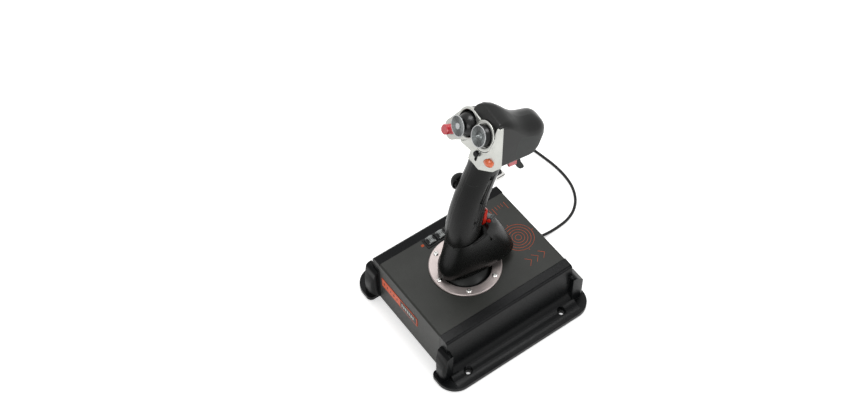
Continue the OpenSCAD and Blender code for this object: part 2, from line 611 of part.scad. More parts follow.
// Space over the top of the face, outside the two rings grown by g
module over_rings(g) difference() {
    union() {
        span([-60, -60, 287 + g/2], [17.6, 60, 340]);
        span([17, -60, 296.6 + g/2], [60, 60, 340]);
    }
    place(left_ring_at, face_n) translate([0, 0, -rim_deep - g]) cylinder(r = left_ring_r + g,
        h = 80);
    place(right_ring_at, face_n) translate([0, 0, -rim_deep - g]) cylinder(r = right_ring_r + g,
        h = 80);
    place(left_ring_at, face_n) translate([0, 0, -cup_deep - 0.2])
        cylinder(r = left_hole_r + collar_t + g, h = 80);
    place(right_ring_at, face_n) translate([0, 0, -cup_deep - 0.2])
        cylinder(r = right_hole_r + collar_t + g, h = 80);
}
module face_plate() color("#cfd0cb") in_head() difference() {
    union() {
        difference() {
            union() {
                loft([for (l = face_levels) face_ring(l, 0, 0)]);
                face_web();
                wing(0.3, rim_deep + 0.2);
            }
            over_rings(-0.4);
            loft([for (l = face_levels) face_ring(l, shell_t,
                l[0] < 240 ? shell_t : l[0] > 290 ? -shell_t : 0)]);
        }
        place(left_ring_at, face_n) translate([0, 0, -cup_deep])
            cylinder(r = left_hole_r + collar_t, h = cup_deep);
        place(left_ring_at, face_n) translate([0, 0, -rim_deep])
            cylinder(r = left_ring_r, h = rim_deep);
        intersection() {
            place(right_ring_at, face_n) union() {
                translate([0, 0, -cup_deep]) cylinder(r = right_hole_r + collar_t, h = cup_deep);
                translate([0, 0, -rim_deep]) cylinder(r = right_ring_r, h = rim_deep);
            }
            span([-40, -40, 200], [20, 40, 340]);
        }
        place(red_at, face_n) translate([0, 0, -rim_deep]) cylinder(r = lobe_r, h = rim_deep + 0.1);
    }
    place(left_ring_at, face_n) translate([0, 0, -cup_deep + 1.5])
        cylinder(r = left_hole_r, h = 60);
    place(right_ring_at, face_n) translate([0, 0, -cup_deep + 1.5])
        cylinder(r = right_hole_r, h = 60);
    place(red_at, face_n) translate([0, 0, -20]) cylinder(r = red_r + 0.15, h = 40);
    place(orange_at, orange_n) translate([0, 0, -5]) cylinder(r = orange_r + 0.15, h = 12);
    place(slider_at, slider_n) hull() for (s = [-1.6, 7.6]) translate([s, 0, -6])
        cylinder(r = 1.8, h = 12, $fn = 32);
    // room for the slider's foot
    place(slider_at, slider_n) hull() for (s = [-1, 6.6]) translate([s, 0, -12])
        cylinder(r = 3.5, h = 8.6, $fn = 32);
    span([17.2, seam_y - 0.1, 200], [40, 60, 340]);
    span([-60, seam_y - 0.1, 200], [-19.2, 60, 340]);
    span([-60, -60, 296.4], [60, 60, 340]);
}
// Black back of the wing, outboard of the head
module wing_back() color("#1f2020") in_head() difference() {
    translate(-(rim_deep + 0.3)*face_n) wing(0.2, wing_deep - rim_deep - 0.3);
    place(left_ring_at, face_n) translate([0, 0, -cup_deep - 0.2])
        cylinder(r = left_hole_r + collar_t + 0.2, h = cup_deep + 1);
    place(red_at, face_n) translate([0, 0, -wing_deep + 2]) cylinder(r = lobe_r - 2.5,
        h = wing_deep);
    translate(-0.3*face_n) face_web();
    span([-22.3, -80, 200], [80, 80, 340]);
}

// Side view of the nose cap's share of the head
module nose_region() rotate([90, 0, 90]) translate([0, 0, -40]) linear_extrude(80)
    polygon([[27, 190], [27, 237], [24.8, 243], [24.2, 250], [25.2, 258], [27.2, 265.4],
        [30, 271.4], [54.8, 260.4], [75, 251.5], [75, 190]]);
module head_form() difference() {
    loft([for (s = head_sections) head_ring(s, 0)]);
    loft([for (s = head_sections) if (s[0] < 57) head_ring([s[0] - (s[0] < 10 ? eps : 0),
        s[1], s[2], s[3], s[4], s[5], s[6], s[7]], shell_t)]);
}
module head_shell() color("#1d1e1d") in_head() {
    difference() {
        head_form();
        nose_region();
        translate([0, 4, head_h - 12]) cylinder(r = 6.5, h = 20);
        span(nose_button_at - [4.8, 4.8, 20], nose_button_at + [4.8, 4.8, 20]);
    }
    // hood over the top of the face, close round both rings
    intersection() {
        loft([for (y = [-9, seam_y]) head_ring([y, head_h, 299.5, -22, 20, 5, 4, 11], 0)]);
        place(right_ring_at, face_n) translate([-60, -60, -60]) cube([120, 120, 59.2]);
        over_rings(0.2);
    }
}
trigger_at = [37, 229];
pin_r = 1.5;
ear_x = 7.2;
module nose_cap() color("#3b3d3c") in_head() difference() {
    union() {
        intersection() { head_form(); nose_region(); }
        for (x = [ear_x, -ear_x - 3]) {
            span([x, trigger_at[0] - 5, trigger_at[1]], [x + 3, trigger_at[0] + 5, 238]);
            x_rod([x, trigger_at[0], trigger_at[1]], 5, 3);
        }
    }
    x_rod([-20, trigger_at[0], trigger_at[1]], pin_r + screw_clear, 40);
    span(nose_button_at - [4.8, 4.8, 20], nose_button_at + [4.8, 4.8, 20]);
}
module head_board() color("#2e6b45") in_head() difference() {
    span([-18.3, seam_y + 4, head_h + 5], [17.2, seam_y + 4 + board_t, head_h + 23]);
    for (x = [-15, 13]) y_rod([x, 0, head_h + 19], 1.6, 40);
}

// One thumb hat, in its own frame: +Z is out of the face, the origin is its centre
module hat_block(deep) difference() {
    union() {
        translate([0, 0, -deep]) cylinder(r = 7.5, h = deep - 5.5);
        for (s = [0, 1]) mirror([s, 0, 0]) span([ear_gap, -2.2, -7], [ear_gap + 1.5, 2.2, 2]);
    }
    x_rod([-10, 0, 0], hat_pin_r + run_clear, 20);
}
module hat_pivot() {
    difference() {
        translate([0, 0, -1.8]) cylinder(r = pivot_ro, h = 3.6);
        translate([0, 0, -3]) cylinder(r = pivot_ri, h = 6);
        y_rod([0, -10, 0], hat_pin_r + run_clear, 20);
    }
    for (s = [0, 1]) mirror([s, 0, 0]) x_rod([pivot_ro - 0.7, 0, 0], hat_pin_r, 2.6);
}
module hat_dome(r, h) {
    difference() {
        sphere(r = r);
        sphere(r = r - 1.8);
        span([-20, -20, -20], [20, 20, -2.5]);
        span([-20, -20, h - 0.8], [20, 20, 40]);
    }
    translate([0, 0, -1.6]) cylinder(r = post_r, h = h + 1);
    for (s = [0, 1]) mirror([0, s, 0]) y_rod([0, post_r - 0.5, 0], hat_pin_r,
        pivot_ro - post_r + 0.4);
}
module hat_dish(h, spike) difference() {
    union() {
        translate([0, 0, h - 1.6]) cylinder(r1 = dish_r - 3, r2 = dish_r, h = 1.4);
        translate([0, 0, h - 0.2]) cylinder(r = dish_r, h = 1);
        if (spike > 0) translate([0, 0, h - 0.4]) cylinder(r1 = 3, r2 = 0.7, h = spike);
    }
    if (spike == 0) translate([0, 0, h - 0.2]) cylinder(r1 = 3.6, r2 = dish_r - 0.6, h = 1.2);
    else translate([0, 0, h]) difference() {
        cylinder(r1 = 6, r2 = dish_r - 0.6, h = 0.9);
        translate([0, 0, -1]) cylinder(r = 4.5, h = 3);
    }
}
module left_hat() color("#1b1c1c") in_head() place(left_hat_at, left_axis) {
    hat_dome(hat_r, left_dish_h);
    hat_dish(left_dish_h, 0);
}
module left_hat_disc() color("#c9cacb") in_head() place(left_hat_at, left_axis)
    translate([0, 0, left_dish_h - 0.2]) cylinder(r = 3, h = 1.2);
module right_hat() color("#1b1c1c") in_head() place(right_hat_at, face_n) {
    hat_dome(hat_r - 1.7, right_dish_h);
    hat_dish(right_dish_h, 5.4);
}
module left_hat_pivot() color("#b9bbbd") in_head() place(left_hat_at, left_axis) hat_pivot();
module right_hat_pivot() color("#b9bbbd") in_head() place(right_hat_at, face_n) hat_pivot();
// Switch blocks of the two hats, standing on the floors of their cups, and the switches of the
// red and the orange button
module head_switches() color("#27282a") in_head() {
    place(right_hat_at, face_n) hat_block(cup_deep - 1.5 - hat_sunk);
    intersection() {
        place(left_hat_at, left_axis) hat_block(14);
        place(left_ring_at, face_n) translate([0, 0, -cup_deep + 1.5]) cylinder(r = 13, h = 40);
    }
    place(red_at, face_n) translate([0, 0, -wing_deep + 2]) cylinder(r = 4, h = 3.4);
    intersection() {
        place(orange_at, orange_n) translate([0, 0, -40]) cylinder(r = 3, h = 40 - 8.4);
        span([-40, -60, 200], [40, seam_y + 4, 340]);
    }
}

// ---- buttons, slider, trigger, knob, lever ----
module red_button() color("#d8343f") in_head() place(red_at, face_n) {
    translate([0, 0, -6]) cylinder(r = 3, h = 4);
    translate([0, 0, -3]) cylinder(r = red_r, h = 11.8);
    translate([0, 0, 8.8]) cylinder(r1 = red_r, r2 = red_r - 0.8, h = 0.8);
}
module orange_button() color("#e8632c") in_head() place(orange_at, orange_n) {
    translate([0, 0, -6]) cylinder(r = 3, h = 5);
    translate([0, 0, -2]) cylinder(r = orange_r, h = 3);
    translate([0, 0, 1]) intersection() {
        cylinder(r = orange_r, h = 4);
        translate([0, 0, -5]) sphere(r = sqrt(orange_r*orange_r + 25));
    }
}
module mode_slider() color("#141414") in_head() place(slider_at, slider_n) {
    translate([0, 0, -5.4]) cylinder(r = 3, h = 1.6);
    translate([0, 0, -4]) cylinder(r = 1.5, h = 5.4);
    translate([0, 0, 0.9]) cylinder(r1 = 3.3, r2 = 2.8, h = 1.6);
}
module trigger() color("#222322") in_head() difference() {
    union() {
        x_rod([-ear_x + 0.3, trigger_at[0], trigger_at[1]], 4, 2*ear_x - 3.4);
        rotate([90, 0, 90]) translate([0, 0, -5]) linear_extrude(9)
            translate(trigger_at) polygon([[4, 0], [3.4, -8], [4, -15], [5.5, -21], [8.6, -27.2],
                [9.3, -30], [8, -32], [4.6, -31], [1, -26.5], [-1.6, -20], [-3.4, -12], [-4, 0]]);
    }
    x_rod([-20, trigger_at[0], trigger_at[1]], pin_r + run_clear, 40);
}
module trigger_pin() color("silver") in_head()
    x_rod([-ear_x - 3, trigger_at[0], trigger_at[1]], pin_r, 2*ear_x + 6);
module trigger_spring() color("#8f9296") in_head() along_x([0, trigger_at[0], trigger_at[1]])
    spring(pin_r + 0.6, 0.4, ear_x - 3.1 + 0.6, ear_x - 0.6, 2);
module nose_button() color("#e0606a") in_head()
    span(nose_button_at - [4.5, 4.5, 5.5], nose_button_at + [4.5, 4.5, 9]);
module finger_button() color("#1b1b1b") y_rod(finger_at - [0, 5, 0], 3, 8.6);
module side_knob() color("#1c1d1d") {
    intersection() {
        translate(knob_at) sphere(r = knob_r);
        span(knob_at - [20, 20, 20], knob_at + [0, 20, 20]);
    }
    x_rod([knob_at[0] - 1, knob_at[1], knob_at[2]], 3, 8);
}
module pinky_lever() color("#d3291f") difference() {
    union() {
        x_rod([-5, pinky_at[0], pinky_at[1]], 3.2, 10);
        rotate([90, 0, 90]) translate([0, 0, -5]) linear_extrude(10)
            translate(pinky_at) polygon([[-3.2, 0], [-2.9, 9], [-1.6, 19], [-0.2, 28], [0.9, 34.4],
                [2.5, 36.2], [4.1, 34.8], [4, 30], [3.3, 22], [2.4, 13], [2.7, 6], [3.2, 0]]);
    }
    x_rod([-20, pinky_at[0], pinky_at[1]], pin_r + run_clear, 40);
}
module pinky_pin() color("silver") x_rod([-12, pinky_at[0], pinky_at[1]], pin_r, 24);
module pinky_button() color("#c02a3a") place(pinky_button_at, pinky_button_n)
    translate([0, 0, -5]) cylinder(r = 2.05, h = 6.6);

// ---- panel thumbwheels ----
module trim_wheel(y) color("#26282a") translate([wheel_x - wheel_w/2, y, wheel_z])
    rotate([0, 90, 0]) difference() {
        linear_extrude(wheel_w) polygon([for (i = [0:71]) let (a = 360*i/72,
            r = wheel_r - (floor(i/2) % 2)*0.6) [r*cos(a), r*sin(a)]]);
        translate([0, 0, -1]) cylinder(r = axle_r + run_clear, h = wheel_w + 2);
    }
axle_r = 1.1;
module front_trim_wheel() trim_wheel(wheel_front_y);
module rear_trim_wheel() trim_wheel(wheel_rear_y);
module wheel_axle() color("silver") for (y = [wheel_front_y, wheel_rear_y])
    x_rod([wheel_in, y, wheel_z], axle_r, wheel_out - wheel_in);
// Cradle under the panel that holds both axles, with the frame round its wheels
module wheel_bracket() color("#151616") difference() {
    union() {
        for (x = [wheel_in, wheel_out - 1.4]) span([x, wheel_mid_y - wheel_span_y/2 + 1,
            wheel_z - 9], [x + 1.4, wheel_mid_y + wheel_span_y/2 - 1, base_h + 0.6]);
        span([wheel_in, wheel_mid_y - wheel_span_y/2 + 1, wheel_z - 9],
             [wheel_out, wheel_mid_y + wheel_span_y/2 - 1, wheel_z - 7.6]);
        span([wheel_in - 0.6, wheel_mid_y - wheel_span_y/2 - 0.4, base_h],
             [wheel_out + 0.6, wheel_mid_y + wheel_span_y/2 + 0.4, base_h + 1.2]);
    }
    for (y = [wheel_front_y, wheel_rear_y]) {
        x_rod([wheel_x - 20, y, wheel_z], axle_r + screw_clear, 40);
        span([wheel_x - wheel_w/2 - wheel_gap, y - wheel_r - wheel_gap, base_h - 1],
             [wheel_x + wheel_w/2 + wheel_gap, y + wheel_r + wheel_gap, base_h + 3]);
    }
}

// ---- electronics in the base ----
board_places = [for (sx = [-1, 1], sy = [-1, 1]) [sx*32, 52 + sy*18]];
module main_board() color("#2e6b45") difference() {
    union() {
        span([-36, 30, plate_top + 5], [36, 74, plate_top + 6.6]);
        span([-20, 42, plate_top + 6.6], [-8, 54, plate_top + 8]);
        span([8, 40, plate_top + 6.6], [22, 46, plate_top + 12]);
        span([-18, 62, plate_top + 6.6], [-9, 72, plate_top + 13]);
    }
    for (p = board_places) translate([p[0], p[1], 0]) cylinder(r = screw_hole_r, h = 30);
}
module board_standoffs() color("#b08d4f") for (p = board_places) translate([p[0], p[1], 0]) {
    translate([0, 0, plate_top]) cylinder(r = 3, h = 5);
    translate([0, 0, plate_top + 4]) cylinder(r = screw_r, h = 3);
    translate([0, 0, plate_top + 6.6]) cylinder(r = 2.6, h = 1.6);
}

// ---- cord ----
cord_r = cord_d / 2;
layer = cord_d + 0.5;
coil_at = [-166, 156];
coil_in = 14.7;
turns_a_layer = 2.75;
coil_out = coil_in + turns_a_layer*layer;
coil_start = 90;
// Free run of the cord from the gland to the coil
cord_route = [[-gland_x, half_d + gland_l, gland_h], [-gland_x, 112, 5.2], [-14.5, 124, 2.2],
    [-15, 138, 1.7], [-17, 152, 1.7], [-23, 166, 1.7], [-34, 178, 1.7], [-50, 186.5, 1.7],
    [-68, 190, 1.7], [-87, 190, 1.7], [-106, 187.5, 1.7], [-124, 184.4, 1.7],
    [-140, 182.3, 1.7], [-153, 181.5, 1.7], [coil_at[0] + cord_d, coil_at[1] + coil_out, 1.7]];
function curve_point(p, i, t) = let (a = p[max(i-1, 0)], b = p[i], c = p[i+1],
    d = p[min(i+2, len(p)-1)]) 0.5*(2*b + (c - a)*t + (2*a - 5*b + 4*c - d)*t*t
    + (3*b - a - 3*c + d)*t*t*t);
cord_path = concat([for (i = [0:len(cord_route)-2], t = [0, 0.5]) curve_point(cord_route, i, t)],
    [cord_route[len(cord_route)-1]]);
// USB plug: its moulding's length, width and thickness, then the metal shell's
plug_l = 24;
plug_w = 15.6;
plug_t = 7.6;
shell_w = 12;
shell_h = 4.5;
shell_out = 12;
shell_z = -cord_r + (plug_t - shell_h)/2;
// Coil: four layers that spiral in and out, then half a turn down its outside to the plug
function climb(s) = [for (k = [1:3]) min(max((s - k*turns_a_layer + 0.25)/0.5, 0), 1)] * [1, 1, 1];
function fold(s) = let (f = s/turns_a_layer, q = f - 2*floor(f/2)) q < 1 ? 1 - q : q - 1;
coil_turns = 4*turns_a_layer;
function coil_point(s) = let (down = max(s - coil_turns, 0), a = coil_start + 360*s,
    r = coil_in + (coil_out - coil_in)*(s > coil_turns ? 1 : fold(s)) + layer*min(4*down, 1),
    z = cord_r + layer*climb(s) - 3*layer*min(2*down, 1))
    [coil_at[0] + r*cos(a), coil_at[1] + r*sin(a), z];
coil_end = coil_point(coil_turns + 0.5);
coil_path = concat([[coil_at[0] + cord_d, coil_at[1] + coil_out, cord_r]],
    [for (j = [0:round(24*(coil_turns + 0.5))]) coil_point(j/24)],
    [coil_end + [cord_d, 0, 0]]);
plug_at = coil_end + [cord_d, 0, 0];
// Least gap from the coil to itself, over points more than half a turn apart
coil_gap = min([for (i = [0:len(coil_path)-15], j = [i+13:len(coil_path)-1])
    norm(coil_path[i] - coil_path[j])]) - cord_d;
echo(coil_gap = coil_gap);
module cord_gland() color("#161616") difference() {
    union() {
        y_rod([-gland_x, half_d, gland_h], 6, 2.5);
        y_rod([-gland_x, half_d - sheet_t - 2.5, gland_h], 4, 5);
        y_rod([-gland_x, half_d - sheet_t - 4, gland_h], 5.5, 4);
        translate([-gland_x, half_d + 2, gland_h]) rotate([-90, 0, 0])
            cylinder(r1 = 4, r2 = cord_r + 0.9, h = gland_l - 2);
    }
    y_rod([-gland_x, half_d + gland_l - 3, gland_h], cord_r + 0.02, 4);
}
module usb_cord() color("#1b1b1b") {
    tube(cord_path, cord_r, 8);
    y_rod([-gland_x, half_d + gland_l - 3, gland_h], cord_r, 3.01);
}
module cord_coil() color("#1b1b1b") tube(coil_path, cord_r, 6);
module cord_tie() color("#30343a") translate([coil_at[0], coil_at[1], 0]) rotate(-20) {
    top = 3*layer + cord_d + 0.4;
    difference() {
        span([coil_in - cord_r - 1.8, -3.5, 0.2], [coil_out + cord_r + 1.4, 3.5, top + 1.2]);
        span([coil_in - cord_r - 0.6, -5, -1], [coil_out + cord_r + 0.3, 5, top]);
    }
}
// Length of the sleeve between the cord and the plug's body, which clears the coil
plug_neck = 16;
module usb_plug() color("#1b1b1b") translate(plug_at) difference() {
    union() {
        span([plug_neck, -plug_w/2, -cord_r + 0.01],
             [plug_neck + plug_l, plug_w/2, -cord_r + plug_t]);
        translate([0.3, 0, 0]) rotate([0, 90, 0]) cylinder(r = cord_r, h = plug_neck);
    }
    span([plug_neck - 4 + plug_l, -shell_w/2 - 0.05, shell_z - 0.05],
         [plug_neck + 1 + plug_l, shell_w/2 + 0.05, shell_z + shell_h + 0.05]);
}
module usb_shell() color("#c6c8ca") translate(plug_at + [plug_neck - 4 + plug_l, 0, shell_z])
    difference() {
    span([0, -shell_w/2, 0], [4 + shell_out, shell_w/2, shell_h]);
    span([3, -shell_w/2 + 0.4, shell_h/2 - 0.1], [20, shell_w/2 - 0.4, shell_h - 0.4]);
}

center_cover();
left_side_casting();
right_side_casting();
bottom_plate();
bottom_screws();
rubber_feet();
trim_ring();
ring_screws();
ring_backing();
front_label();
gimbal_frame();
frame_screws();
pitch_bearings();
pitch_springs();
pitch_sensor();
main_board();
board_standoffs();
wheel_bracket();
wheel_axle();
front_trim_wheel();
rear_trim_wheel();
gimbal_yoke();
roll_bearings();
roll_spring();
roll_sensor();
stick_shaft();
dust_dome();
hand_rest();
grip_left();
grip_right();
grip_screws();
face_plate();
wing_back();
head_shell();
nose_cap();
head_board();
head_switches();
left_hat_pivot();
left_hat();
left_hat_disc();
right_hat_pivot();
right_hat();
red_button();
orange_button();
mode_slider();
trigger();
trigger_pin();
trigger_spring();
nose_button();
finger_button();
side_knob();
pinky_lever();
pinky_pin();
pinky_button();
cord_gland();
usb_cord();
cord_coil();
cord_tie();
usb_plug();
usb_shell();
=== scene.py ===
"""A desk flight joystick on a black cast base, with its cord wound up beside it, dressed around its CAD frame."""

import math

import bmesh
import bpy
from mathutils import Matrix, Vector


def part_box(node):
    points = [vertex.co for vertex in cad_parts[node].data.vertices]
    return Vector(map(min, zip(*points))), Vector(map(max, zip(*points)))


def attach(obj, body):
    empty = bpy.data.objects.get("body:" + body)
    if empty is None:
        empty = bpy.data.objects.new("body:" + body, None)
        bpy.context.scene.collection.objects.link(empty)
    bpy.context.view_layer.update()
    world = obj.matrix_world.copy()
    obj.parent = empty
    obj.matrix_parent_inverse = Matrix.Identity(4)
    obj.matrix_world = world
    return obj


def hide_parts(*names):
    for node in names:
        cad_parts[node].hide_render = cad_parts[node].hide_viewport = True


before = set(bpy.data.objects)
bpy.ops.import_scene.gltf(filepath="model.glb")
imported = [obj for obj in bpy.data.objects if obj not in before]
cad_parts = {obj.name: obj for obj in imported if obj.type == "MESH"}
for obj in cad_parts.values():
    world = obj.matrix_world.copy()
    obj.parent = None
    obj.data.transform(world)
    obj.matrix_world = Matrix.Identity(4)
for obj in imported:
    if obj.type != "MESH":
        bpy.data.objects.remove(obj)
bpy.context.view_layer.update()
MM = 0.001

# ---------------------------------------------------------------- camera

CAMERA_TARGET = Vector((-128.7, 35.9, 0.0)) * MM
CAMERA_DISTANCE = 1641.4 * MM
CAMERA_AZIMUTH, CAMERA_HEIGHT, CAMERA_ROLL = (math.radians(a) for a in (54.7, 53.1, -0.6))
CAMERA_LENS = 58.6


def make_camera():
    """Looks down on the joystick from its front right, from well above."""
    back = Vector((
        math.cos(CAMERA_HEIGHT) * math.sin(CAMERA_AZIMUTH),
        -math.cos(CAMERA_HEIGHT) * math.cos(CAMERA_AZIMUTH),
        math.sin(CAMERA_HEIGHT),
    ))
    level = Vector((math.cos(CAMERA_AZIMUTH), math.sin(CAMERA_AZIMUTH), 0))
    upright = back.cross(level)
    right = level * math.cos(CAMERA_ROLL) + upright * math.sin(CAMERA_ROLL)
    up = upright * math.cos(CAMERA_ROLL) - level * math.sin(CAMERA_ROLL)
    camera = bpy.data.objects.new("camera", bpy.data.cameras.new("camera"))
    camera.data.lens = CAMERA_LENS
    camera.data.sensor_width = 36
    camera.data.clip_end = 20
    turn = Matrix((right, up, back)).transposed().to_4x4()
    camera.matrix_world = Matrix.Translation(CAMERA_TARGET + back * CAMERA_DISTANCE) @ turn
    bpy.context.scene.collection.objects.link(camera)
    bpy.context.scene.camera = camera


make_camera()

# ---------------------------------------------------------------- making things


def linear(hex_colour):
    """An sRGB hex colour as the linear colour that a shader takes."""
    parts = [int(hex_colour[i:i + 2], 16) / 255 for i in (0, 2, 4)]
    return [c / 12.92 if c <= 0.04045 else ((c + 0.055) / 1.055) ** 2.4 for c in parts] + [1]


def add(tree, kind, inputs=None, **settings):
    """One node with its settings. An input given as a socket is linked, and any other is set."""
    made = tree.nodes.new("ShaderNode" + kind)
    for key, value in settings.items():
        setattr(made, key, value)
    for key, value in (inputs or {}).items():
        if isinstance(value, bpy.types.NodeSocket):
            tree.links.new(value, made.inputs[key])
        else:
            made.inputs[key].default_value = value
    return made


def new_material(name):
    """An empty material: its tree, its shader and the object's own coordinates."""
    material = bpy.data.materials.new(name)
    material.use_nodes = True
    tree = material.node_tree
    shader = tree.nodes["Principled BSDF"]
    place = add(tree, "TexCoord").outputs["Object"]
    return material, tree, shader, place


def surface(name, light, dark, rough=(0.3, 0.4), metallic=0.0, grain=0.5, relief=0.0,
            cloud=25.0, specular=0.5, coat=0.0, edge=0.0):
    """A finish of two close colours in soft clouds, with a grain that shows in its gloss and relief.

    grain and cloud are in millimetres, and so are relief, the grain's height, and edge, the round
    that the finish gives a sharp edge.
    """
    material, tree, shader, place = new_material(name)
    fine = add(tree, "TexNoise", {"Vector": place, "Scale": 1 / (grain * MM), "Detail": 3.0})
    soft = add(tree, "TexNoise", {"Vector": place, "Scale": 1 / (cloud * MM), "Detail": 4.0})
    both = add(tree, "Math", {0: soft.outputs[0], 1: fine.outputs[0]}, operation="ADD")
    share = add(tree, "MapRange", {"Value": both.outputs[0], "From Min": 0.75, "From Max": 1.25})
    paint = add(tree, "Mix", {0: share.outputs[0], 6: linear(dark), 7: linear(light)}, data_type="RGBA")
    gloss = add(tree, "MapRange", {"Value": fine.outputs[0], "From Min": 0.3, "From Max": 0.7,
                                   "To Min": rough[0], "To Max": rough[1]})
    tree.links.new(paint.outputs[2], shader.inputs["Base Color"])
    tree.links.new(gloss.outputs[0], shader.inputs["Roughness"])
    shader.inputs["Metallic"].default_value = metallic
    if not metallic:
        shader.inputs["Specular IOR Level"].default_value = specular
    shader.inputs["Coat Weight"].default_value = coat
    shader.inputs["Coat Roughness"].default_value = 0.12
    if relief:
        bump = add(tree, "Bump", {"Height": fine.outputs[0], "Distance": relief * MM, "Strength": 1.0})
        tree.links.new(bump.outputs[0], shader.inputs["Normal"])
    if edge:
        worn = add(tree, "Bevel", {"Radius": edge * MM}, samples=6)
        tree.links.new(worn.outputs[0], bump.inputs["Normal"] if relief else shader.inputs["Normal"])
    return material


# Powder coat on folded steel: an even dark grey with a very fine peel, dull from every side.
powder_coat = surface("powder_coat", "2b2c29", "222320", (0.38, 0.50), grain=0.9, relief=0.006, specular=0.22,
                      edge=0.45)
# Satin black enamel on zinc castings: deep black, with broad soft highlights on the rounded flanks.
cast_enamel = surface("cast_enamel", "0e0f10", "090a0b", (0.26, 0.34), grain=1.1, relief=0.002, specular=0.1,
                      edge=0.6)
# Dark zinc plate on sheet steel: grey metal with cloudy patches.
zinc_plate = surface("zinc_plate", "63666a", "44474a", (0.35, 0.5), metallic=1.0, grain=1.5, cloud=12)
# Bright nickel on steel screws: a clean mirror with fine turning marks.
bright_nickel = surface("bright_nickel", "e2e1de", "c4c3c0", (0.14, 0.24), metallic=1.0, grain=0.3)
# Natural rubber: black, dull and slightly dusty.
black_rubber = surface("black_rubber", "1d1d1d", "131313", (0.6, 0.75), grain=0.6, relief=0.02, specular=0.15)
# Satin anodised aluminium: warm grey, lathe turned, so its gloss spreads round the ring.
anodised_ring = surface("anodised_ring", "aaa09d", "908785", (0.34, 0.46), metallic=0.85, grain=0.25)
# Screen printed ink: orange, thin enough to look burnt on a dark coat.
orange_ink = surface("orange_ink", "b04a22", "96401f", (0.45, 0.6), grain=0.8, cloud=6, specular=0.2)
# Printed film: a brighter orange, flat and even.
label_film = surface("label_film", "d9541e", "c74a1a", (0.35, 0.5), grain=0.8, cloud=6, specular=0.3)
# White ink on the film.
white_ink = surface("white_ink", "cfcfca", "bcbcb7", (0.45, 0.6), grain=0.8, cloud=6, specular=0.2)
# Machined aluminium: pale grey with fine cutter marks.
milled_aluminium = surface("milled_aluminium", "b4b6b8", "93969a", (0.25, 0.4), metallic=1.0, grain=0.4)
# Sintered bronze bushes: dull yellow metal.
bearing_bronze = surface("bearing_bronze", "b99554", "97763c", (0.3, 0.45), metallic=1.0, grain=0.4)
# Drawn spring steel: dark bright wire.
spring_wire = surface("spring_wire", "a3a6aa", "7d8084", (0.2, 0.35), metallic=1.0, grain=0.3)
# Glass filled nylon in blue: the sensors' cases.
blue_nylon = surface("blue_nylon", "35568a", "294770", (0.35, 0.5), grain=0.4)
# Solder resist over glass board: deep green with darker tracks.
board_resist = surface("board_resist", "2f7049", "24593a", (0.25, 0.4), grain=0.8, cloud=4)
# Fine textured ABS: black and matte, for frames and small levers.
matt_abs = surface("matt_abs", "151616", "0e0f0f", (0.42, 0.55), grain=0.5, relief=0.008, specular=0.2)
# Ground steel shaft: smooth and bright.
ground_steel = surface("ground_steel", "b5b8bb", "96999c", (0.15, 0.25), metallic=1.0, grain=0.3)
# Satin ABS: the dome, a shade duller than the grip.
satin_abs = surface("satin_abs", "141514", "0e0f0e", (0.32, 0.40), grain=0.7, relief=0.004, specular=0.22)
# Polished ABS: the grip and the hand rest, glossy black with a faint peel in the reflections.
gloss_abs = surface("gloss_abs", "0e0f0e", "090a09", (0.26, 0.28), grain=1.4, specular=0.16)
# The same ABS on the head, with a little more polish, so its flat side picks up the table.
head_abs = surface("head_abs", "121312", "0c0d0c", (0.29, 0.31), grain=1.4, specular=0.26)
# Blackened steel: the grip's own screws.
black_oxide = surface("black_oxide", "4c4c4c", "3a3a3a", (0.3, 0.45), metallic=1.0, grain=0.3)
# Satin silver lacquer on ABS: pale metal-filled paint, brighter where it curves to the light.
silver_lacquer = surface("silver_lacquer", "c6c7c2", "b2b3ae", (0.26, 0.36), metallic=0.8, grain=0.3, coat=0.1,
                         edge=0.4)
# Soft touch ABS: the grey panel under the thumb, almost without gloss.
soft_touch = surface("soft_touch", "333534", "2a2c2b", (0.45, 0.58), grain=0.5, relief=0.008, specular=0.25)
# Satin black ABS of the hats.
hat_abs = surface("hat_abs", "151616", "0e0f0f", (0.24, 0.32), grain=0.6, relief=0.003, specular=0.3)

# Pale grey ABS: the small mark at the middle of a hat.
pale_abs = surface("pale_abs", "d2d3d4", "bfc0c1", (0.3, 0.4), grain=0.4)
# Glossy orange ABS.
orange_abs = surface("orange_abs", "ee7030", "dd5c26", (0.14, 0.22), grain=0.8, specular=0.55, coat=0.3)
# Glossy red ABS.
red_abs = surface("red_abs", "d6301f", "bd2519", (0.16, 0.24), grain=0.8, specular=0.55, coat=0.3)
# Flexible PVC: the cord's jacket and the plug's moulding.
pvc_jacket = surface("pvc_jacket", "1c1c1c", "131313", (0.38, 0.5), grain=0.6, relief=0.004, specular=0.2)
# Silicone strap.
grey_silicone = surface("grey_silicone", "353a40", "2b2f35", (0.5, 0.62), grain=0.5, specular=0.35)


def make_red_acrylic():
    """Red acrylic: clear and tinted, with a sharp highlight; its red is painted light, paler where it faces the
    camera and darker towards its outline.
    """
    material, tree, shader, place = new_material("red_acrylic")
    soft = add(tree, "TexNoise", {"Vector": place, "Scale": 1 / (5 * MM), "Detail": 2.0})
    # Painted light: the facing weight makes the red paler towards the camera and darker towards the outline.
    edge = add(tree, "LayerWeight", {"Blend": 0.35}).outputs["Facing"]
    share = add(tree, "Math", {0: soft.outputs[0], 1: edge}, operation="MULTIPLY")
    paint = add(tree, "Mix", {0: share.outputs[0], 6: linear("e0404c"), 7: linear("a81c26")}, data_type="RGBA")
    tree.links.new(paint.outputs[2], shader.inputs["Base Color"])
    shader.inputs["Roughness"].default_value = 0.12
    shader.inputs["IOR"].default_value = 1.49
    shader.inputs["Transmission Weight"].default_value = 0.25
    shader.inputs["Coat Weight"].default_value = 0.5
    return material


red_acrylic = make_red_acrylic()


